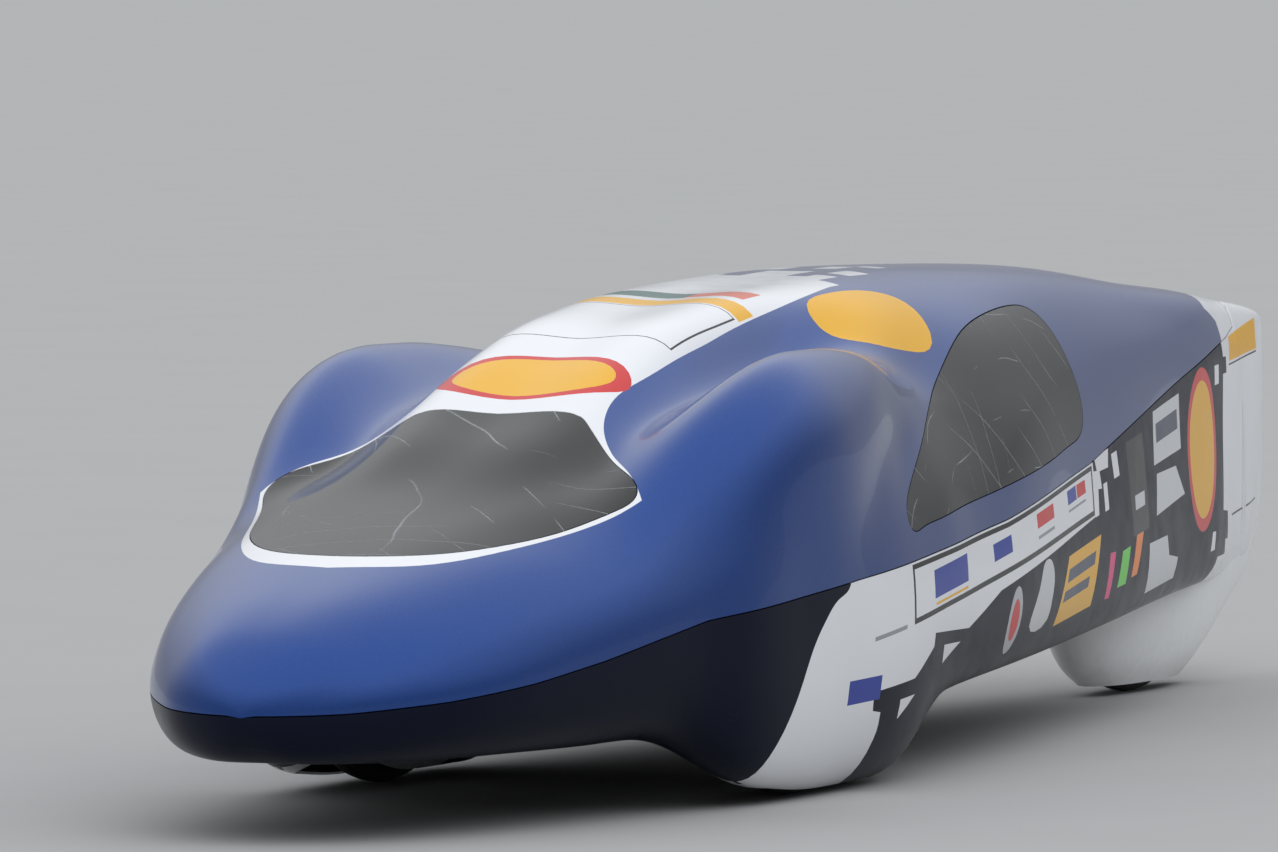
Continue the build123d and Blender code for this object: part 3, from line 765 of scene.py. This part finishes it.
def flake_paint(name, colour):
    """Metallic paint: fine flakes, a little cloudiness and a wet clear coat."""
    material, tree, shader, place = start_material(name)
    cells = put(tree, "ShaderNodeTexVoronoi", [("Vector", place)], Scale=1400.0)
    flakes = spread(tree, cells.outputs["Distance"], 0.0, 1.0, 0.1, 0.7)
    cloud = spread(tree, noise(tree, place, 5.0), 0.0, 1.0, 0.3, 0.7)
    base = mix(tree, cloud, scaled(colour, 0.92), scaled(colour, 1.04))
    tree.links.new(mix(tree, flakes, base, scaled(colour, 1.4)), shader.inputs["Base Color"])
    tree.links.new(spread(tree, flakes, 0.24, 0.36), shader.inputs["Roughness"])
    bumped(tree, shader, noise(tree, place, 220.0, 3.0), 0.00002)
    shader.inputs["Metallic"].default_value = 0.75
    shader.inputs["Coat Weight"].default_value = 0.8
    shader.inputs["Coat IOR"].default_value = 1.36
    shader.inputs["Coat Roughness"].default_value = 0.025
    return material


def film(name, colour, roughness=(0.17, 0.24), coat=0.0, shade=0.04, shine=0.3):
    """Printed or plain vinyl film: slight orange peel and uneven gloss."""
    material, tree, shader, place = start_material(name)
    cloud = noise(tree, place, 9.0, 4.0)
    cloudy = mix(tree, cloud, scaled(colour, 1 - shade), scaled(colour, 1 + shade))
    tree.links.new(cloudy, shader.inputs["Base Color"])
    tree.links.new(spread(tree, noise(tree, place, 26.0, 5.0), roughness[0], roughness[1], 0.3, 0.7),
                   shader.inputs["Roughness"])
    bumped(tree, shader, noise(tree, place, 160.0, 3.0), 0.00002)
    shader.inputs["Specular IOR Level"].default_value = shine
    shader.inputs["Coat Weight"].default_value = coat
    shader.inputs["Coat Roughness"].default_value = 0.05
    return material


def dusty_gloss(name, colour):
    """Gloss paint with road dust that thins out upwards."""
    material, tree, shader, place = start_material(name)
    height = put(tree, "ShaderNodeSeparateXYZ", [("Vector", place)]).outputs["Z"]
    low = spread(tree, height, 1.0, 0.0, 0.0, 0.16)
    specks = spread(tree, noise(tree, place, 60.0, 6.0), 0.0, 0.16, 0.42, 0.75)
    dust = put(tree, "ShaderNodeMath", [(0, low), (1, specks)], operation="MULTIPLY").outputs["Value"]
    tree.links.new(mix(tree, dust, colour, (0.33, 0.31, 0.28)), shader.inputs["Base Color"])
    tree.links.new(spread(tree, dust, 0.16, 0.55), shader.inputs["Roughness"])
    bumped(tree, shader, noise(tree, place, 120.0, 3.0), 0.00002)
    shader.inputs["Coat Weight"].default_value = 0.4
    return material


def smoked_sheet(name):
    """Smoked clear sheet with fine curved scratches."""
    material, tree, shader, place = start_material(name)
    marks = None
    for centre, pitch, patch in (
        ((0.5, -1.6, 0.1), 7.0, 4.5),
        ((-0.9, -0.2, 0.3), 5.0, 9.5),
        ((0.4, 0.9, 0.9), 6.0, 6.5),
    ):
        shifted = put(tree, "ShaderNodeMapping", [("Vector", place)], Location=centre).outputs["Vector"]
        rings = put(tree, "ShaderNodeTexWave", [("Vector", shifted)], wave_type="RINGS",
                    rings_direction="SPHERICAL", Scale=pitch, Distortion=1.6, Detail=1.0,
                    Detail_Scale=1.2).outputs["Fac"]
        line = spread(tree, rings, 0.0, 1.0, 0.9985, 1.0)
        gate = spread(tree, noise(tree, shifted, patch, 1.0), 0.0, 1.0, 0.52, 0.6)
        part = put(tree, "ShaderNodeMath", [(0, line), (1, gate)], operation="MULTIPLY").outputs["Value"]
        if marks is None:
            marks = part
        else:
            marks = put(tree, "ShaderNodeMath", [(0, marks), (1, part)], operation="MAXIMUM").outputs["Value"]
    haze = noise(tree, place, 14.0, 5.0)
    tint = mix(tree, haze, (0.026, 0.027, 0.029), (0.042, 0.044, 0.046))
    tree.links.new(mix(tree, marks, tint, (0.6, 0.62, 0.65)), shader.inputs["Base Color"])
    gloss = spread(tree, haze, 0.03, 0.09, 0.3, 0.7)
    worn = put(tree, "ShaderNodeMath", [(0, gloss), (1, marks)], operation="MAXIMUM").outputs["Value"]
    tree.links.new(worn, shader.inputs["Roughness"])
    bumped(tree, shader, marks, 0.0001)
    shader.inputs["Transmission Weight"].default_value = 0.55
    shader.inputs["IOR"].default_value = 1.45
    return material


def woven(name, colour, cell, gloss, coat):
    """Woven fibre: a check of threads that run both ways."""
    material, tree, shader, place = start_material(name)
    check = put(tree, "ShaderNodeTexChecker", [("Vector", place)], Scale=1.0 / cell).outputs["Fac"]
    warp = noise(tree, place, 1.0, 1.0, (2200.0, 220.0, 900.0))
    weft = noise(tree, place, 1.0, 1.0, (220.0, 2200.0, 900.0))
    threads = put(tree, "ShaderNodeMix", [(0, check), (2, warp), (3, weft)]).outputs[0]
    tone = mix(tree, check, scaled(colour, 0.7), scaled(colour, 1.5))
    tree.links.new(mix(tree, threads, tone, scaled(colour, 1.8)), shader.inputs["Base Color"])
    tree.links.new(spread(tree, threads, gloss - 0.08, gloss + 0.08), shader.inputs["Roughness"])
    bumped(tree, shader, threads, 0.0002)
    shader.inputs["Coat Weight"].default_value = coat
    return material


def machined(name, colour, roughness, stretch):
    """Bare metal with fine tool or brush marks."""
    material, tree, shader, place = start_material(name)
    marks = noise(tree, place, 1.0, 3.0, stretch)
    cloud = noise(tree, place, 40.0, 4.0)
    tree.links.new(mix(tree, cloud, scaled(colour, 0.85), scaled(colour, 1.1)), shader.inputs["Base Color"])
    tree.links.new(spread(tree, marks, roughness - 0.08, roughness + 0.1), shader.inputs["Roughness"])
    bumped(tree, shader, marks, 0.00008)
    shader.inputs["Metallic"].default_value = 1.0
    return material


def grained(name, colour, roughness, scale, depth):
    """Rubber, powder coat or cast metal: an even grain with a little dirt."""
    material, tree, shader, place = start_material(name)
    grain = noise(tree, place, scale, 4.0)
    dirt = spread(tree, noise(tree, place, 18.0, 6.0), 0.0, 0.5, 0.45, 0.75)
    tree.links.new(mix(tree, dirt, colour, scaled(colour, 2.2)), shader.inputs["Base Color"])
    tree.links.new(spread(tree, grain, roughness - 0.08, roughness + 0.08), shader.inputs["Roughness"])
    bumped(tree, shader, grain, depth)
    return material


def concrete(name, colour):
    """The studio floor."""
    material, tree, shader, place = start_material(name)
    tree.links.new(mix(tree, noise(tree, place, 3.0, 6.0), scaled(colour, 0.97), scaled(colour, 1.03)),
                   shader.inputs["Base Color"])
    shader.inputs["Roughness"].default_value = 0.9
    shader.inputs["Specular IOR Level"].default_value = 0.0
    return material


# Camera
back = Vector((
    math.sin(camera_azimuth) * math.cos(camera_pitch),
    -math.cos(camera_azimuth) * math.cos(camera_pitch),
    math.sin(camera_pitch),
))
right = Vector((0, 0, 1)).cross(back).normalized()
up = back.cross(right)
rolled_right = math.cos(camera_roll) * right - math.sin(camera_roll) * up
rolled_up = math.sin(camera_roll) * right + math.cos(camera_roll) * up
turn = Matrix((rolled_right, rolled_up, back)).transposed()
camera_data = bpy.data.cameras.new("camera")
camera_data.sensor_width = sensor_width
camera_data.lens = focal_pixels / picture_width * sensor_width
camera_data.clip_end = view_reach
camera = bpy.data.objects.new("camera", camera_data)
camera.matrix_world = Matrix.Translation(camera_target + back * camera_distance) @ turn.to_4x4()
bpy.context.scene.collection.objects.link(camera)
bpy.context.scene.camera = camera

# Finishes, from the record's slots to the paint marks
finishes = {
    "blue_paint": flake_paint("blue_paint", (0.009, 0.047, 0.215)),
    "navy_vinyl": film("navy_vinyl", (0.003, 0.005, 0.017), (0.2, 0.28), 0.0, 0.08, 0.12),
    "white_gloss": dusty_gloss("white_gloss", (0.78, 0.79, 0.8)),
    "smoked_pane": smoked_sheet("smoked_pane"),
    "aluminium": machined("aluminium", (0.62, 0.63, 0.65), 0.32, (60.0, 900.0, 900.0)),
    "steel": machined("steel", (0.45, 0.46, 0.48), 0.25, (900.0, 900.0, 60.0)),
    "steel_tube": grained("steel_tube", (0.04, 0.04, 0.045), 0.4, 900.0, 0.0001),
    "carbon_panel": woven("carbon_panel", (0.028, 0.028, 0.03), 0.004, 0.35, 0.5),
    "carbon_rim": woven("carbon_rim", (0.03, 0.03, 0.032), 0.003, 0.3, 0.6),
    "black_rubber": grained("black_rubber", (0.018, 0.018, 0.018), 0.6, 1200.0, 0.0002),
    "tyre_rubber": grained("tyre_rubber", (0.02, 0.02, 0.021), 0.7, 700.0, 0.0003),
    "seat_foam": woven("seat_foam", (0.03, 0.03, 0.033), 0.0016, 0.85, 0.0),
    "cast_block": grained("cast_block", (0.25, 0.26, 0.27), 0.6, 500.0, 0.0004),
    "inner_laminate": woven("inner_laminate", (0.05, 0.048, 0.044), 0.005, 0.5, 0.1),
    "white_film": film("white_film", (0.77, 0.78, 0.81), (0.14, 0.2), 0.3, 0.015),
    "blue_mark": film("blue_mark", (0.02, 0.045, 0.32)),
    "yellow_mark": film("yellow_mark", (0.8, 0.42, 0.012)),
    "red_mark": film("red_mark", (0.6, 0.03, 0.03)),
    "grey_mark": film("grey_mark", (0.3, 0.31, 0.33)),
    "pale_mark": film("pale_mark", (0.6, 0.61, 0.63)),
    "dark_mark": film("dark_mark", (0.05, 0.06, 0.1)),
    "black_mark": film("black_mark", (0.012, 0.012, 0.014)),
    "pink_mark": film("pink_mark", (0.75, 0.02, 0.17)),
    "green_mark": film("green_mark", (0.12, 0.62, 0.05)),
    "orange_mark": film("orange_mark", (0.85, 0.22, 0.02)),
    "silver_mark": film("silver_mark", (0.45, 0.46, 0.48)),
    "green_grey_mark": film("green_grey_mark", (0.06, 0.14, 0.13)),
    "coral_mark": film("coral_mark", (0.65, 0.14, 0.09)),
}
upper_finishes = [
    "blue_paint", "white_film", "black_mark", "yellow_mark", "red_mark", "green_grey_mark", "coral_mark",
    "inner_laminate",
]
lower_finishes = [
    "navy_vinyl", "white_film", "black_mark", "yellow_mark", "red_mark", "blue_mark", "grey_mark",
    "pale_mark", "dark_mark", "pink_mark", "green_mark", "orange_mark", "silver_mark", "inner_laminate",
]
upward = Vector((0, 0, 1))
downward = Vector((0, 0, -1))
sides = {"left": Vector((1, 0, 0)), "right": Vector((-1, 0, 0))}

# Upper shell: the paint is cut into the skin, then the panes are parted off with a fine gap
shell = body_skin(True, lid_columns)
shell_shading = shading_of(shell)
slot_of = {finish: index for index, finish in enumerate(upper_finishes)}
roof_half = open_curve(roof_front, curve_steps) + open_curve(roof_side, coarse_steps)[1:] + roof_steps
trace(shell, "top", mirrored_loop(roof_half), upward, slot_of["white_film"])
for finish, loop in top_marks:
    trace(shell, "top", loop, upward, slot_of[finish])
trace(shell, "top", oval(*roof_disc), upward, slot_of["red_mark"])
trace(shell, "top", oval(*roof_disc, share=disc_share), upward, slot_of["yellow_mark"])
trace(shell, "top", tail_top, upward, slot_of["white_film"])
for side in (1, -1):
    loop = closed_curve([(side * x, station) for x, station in roof_oval], curve_steps)
    trace(shell, "top", loop, upward, slot_of["yellow_mark"])
screen_loop = closed_curve(mirrored_loop(windscreen_points), curve_steps)
trace(shell, "top", screen_loop, upward, gap_slot)
trace(shell, "top", shrunk(screen_loop, pane_gap / mm), upward, screen_slot)
window_loop = closed_curve(side_window_points, curve_steps)
for name, facing in sides.items():
    trace(shell, "side", window_loop, facing, gap_slot)
    trace(shell, "side", shrunk(window_loop, pane_gap / mm), facing, pane_slots[name])
painted = part_of(shell, range(len(upper_finishes)))
upper = walled("upper_skin", painted, [finishes[name] for name in upper_finishes], wall, shell_shading)
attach(upper, "lid")
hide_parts("upper_shell")
pane_nodes = {"windshield": screen_slot}
for name in sides:
    pane_nodes[f"side_window_{name}"] = pane_slots[name]
for node, slot in pane_nodes.items():
    glazing = part_of(shell, [slot])
    for face in glazing.faces:
        face.material_index = 0
    pane = walled(f"{node}_pane", glazing, [finishes["smoked_pane"]], pane_wall, shell_shading)
    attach(pane, "lid")
    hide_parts(node)
shell.free()

# Lower tub with its front skirts, open below for the wheels
tub = body_skin(False, tub_columns)
tub_shading = shading_of(tub)
slot_of = {finish: index for index, finish in enumerate(lower_finishes)}
flash = open_curve(flash_front, coarse_steps) + flash_rest
for facing in sides.values():
    trace(tub, "side", flash, facing, slot_of["white_film"])
    trace(tub, "side", strip_edge, facing, slot_of["black_mark"])
    trace(tub, "side", strip_face, facing, slot_of["white_film"])
    trace(tub, "side", tail_edge, facing, slot_of["white_film"])
    for finish, loop in side_marks:
        trace(tub, "side", loop, facing, slot_of[finish])
    trace(tub, "side", oval(*side_oval, tilt=side_tilt), facing, slot_of["silver_mark"])
    trace(tub, "side", oval(*side_oval, share=oval_share, tilt=side_tilt), facing, slot_of["red_mark"])
    trace(tub, "side", closed_curve(arch_mark, coarse_steps), facing, slot_of["pale_mark"])
    trace(tub, "side", oval(*tail_oval, tilt=tail_tilt), facing, slot_of["red_mark"])
    trace(tub, "side", oval(*tail_oval, share=disc_share, tilt=tail_tilt), facing, slot_of["yellow_mark"])
front_opening = closed_curve(front_wheel_opening, coarse_steps)
trace(tub, "top", front_opening, downward, opening_slot)
trace(tub, "top", [(-x, station) for x, station in front_opening], downward, opening_slot)
trace(tub, "top", closed_curve(rear_wheel_opening, coarse_steps), downward, opening_slot)
painted = part_of(tub, range(len(lower_finishes)))
tub.free()
lower = walled("lower_skin", painted, [finishes[name] for name in lower_finishes], wall, tub_shading)
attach(lower, "chassis")
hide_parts("lower_tub")

# Rear wheel's skirt
skirt_bm = skirt_skin(skirt_rounds, skirt_columns)
skirt_shading = shading_of(skirt_bm)
skirt_finishes = [finishes["white_gloss"], finishes["inner_laminate"]]
skirt = walled("rear_skirt", skirt_bm, skirt_finishes, wall, skirt_shading)
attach(skirt, "chassis")
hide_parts("rear_spat")

# Tyres, from a section of axial offset and radius with its tread grooves, in metres
tyre_profile = [
    (-0.012, 0.203), (-0.0165, 0.2065), (-0.0205, 0.213), (-0.022, 0.2195), (-0.0212, 0.2258),
    (-0.0178, 0.2318), (-0.0135, 0.2355), (-0.0128, 0.2350), (-0.0118, 0.2350), (-0.0112, 0.2366),
    (-0.0062, 0.2383), (-0.0056, 0.2372), (-0.0044, 0.2372), (-0.0038, 0.2387), (0.0, 0.239),
    (0.0038, 0.2387), (0.0044, 0.2372), (0.0056, 0.2372), (0.0062, 0.2383), (0.0112, 0.2366),
    (0.0118, 0.2350), (0.0128, 0.2350), (0.0135, 0.2355), (0.0178, 0.2318), (0.0212, 0.2258),
    (0.022, 0.2195), (0.0205, 0.213), (0.0165, 0.2065), (0.012, 0.203),
]
axles = {
    "front_left": (wheel_x, front_axle_y, tyre_radius),
    "front_right": (-wheel_x, front_axle_y, tyre_radius),
    "rear": (0, rear_axle_y, tyre_radius),
}
for name, centre in axles.items():
    tyre = turned(f"road_tyre_{name}", tyre_profile, centre, tyre_steps)
    tyre.data.materials.append(finishes["tyre_rubber"])
    tyre.data.set_sharp_from_angle(angle=tyre_crease)
    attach(tyre, f"wheel_{name}")
    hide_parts(f"tyre_{name}")

# Headrest, a foam pad in black cloth
pad_low, pad_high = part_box("headrest")
pad_middle = (pad_low + pad_high) / 2
bm = bmesh.new()
bmesh.ops.create_cube(bm, size=1.0)
bmesh.ops.scale(bm, vec=headrest_size, verts=bm.verts)
bmesh.ops.bevel(bm, geom=list(bm.edges), offset=headrest_bevel, offset_type="OFFSET", affect="EDGES",
                segments=3, profile=0.5, material=-1)
bmesh.ops.subdivide_edges(bm, edges=list(bm.edges), cuts=3, use_grid_fill=True)
for vert in bm.verts:
    across = vert.co.x / headrest_size[0] * 2
    along = vert.co.y / headrest_size[1] * 2
    crown = (1 - across**2) * (1 - along**2)
    vert.co.z *= 1 + headrest_crown * crown
    vert.co.x *= 1 - headrest_waist[0] * (1 - along**2)
    vert.co.y *= 1 - headrest_waist[1] * (1 - across**2)
bmesh.ops.rotate(bm, cent=(0, 0, 0), matrix=Matrix.Rotation(seat_slope, 3, "X"), verts=bm.verts)
bmesh.ops.translate(bm, vec=pad_middle, verts=bm.verts)
pad = new_object("headrest_pad", mesh_of(bm, "headrest_pad"))
pad.data.materials.append(finishes["seat_foam"])
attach(pad, "chassis")
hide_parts("headrest")

# Finishes of the pieces that stay as they are in the CAD model
for row in frame["record"]["subparts"]:
    shown = frame["nodes"][row["node"]]
    for slot in shown.material_slots:
        slot.material = finishes[row["material_slot"]]

# Floor, sky and sun
floor_mesh = bmesh.new()
bmesh.ops.create_grid(floor_mesh, x_segments=1, y_segments=1, size=floor_half_size)
floor = new_object("floor", mesh_of(floor_mesh, "floor"))
floor.data.materials.append(concrete("floor", floor_colour))

world = bpy.data.worlds.new("world")
bpy.context.scene.world = world
world.use_nodes = True
sky = world.node_tree
direction = sky.nodes.new("ShaderNodeTexCoord").outputs["Generated"]
climb = put(sky, "ShaderNodeSeparateXYZ", [("Vector", direction)]).outputs["Z"]
rise = spread(sky, climb, 0.0, 1.0, *sky_climb)
sky.links.new(mix(sky, rise, horizon_colour, sky_colour), sky.nodes["Background"].inputs["Color"])
sky.nodes["Background"].inputs["Strength"].default_value = sky_strength

sun_data = bpy.data.lights.new("sun", "SUN")
sun_data.energy = sun_strength
sun_data.angle = sun_width
sun = bpy.data.objects.new("sun", sun_data)
sun.rotation_euler = sun_direction.to_track_quat("Z", "Y").to_euler()
sun.visible_glossy = False
bpy.context.scene.collection.objects.link(sun)

bpy.context.scene.view_settings.view_transform = "Standard"
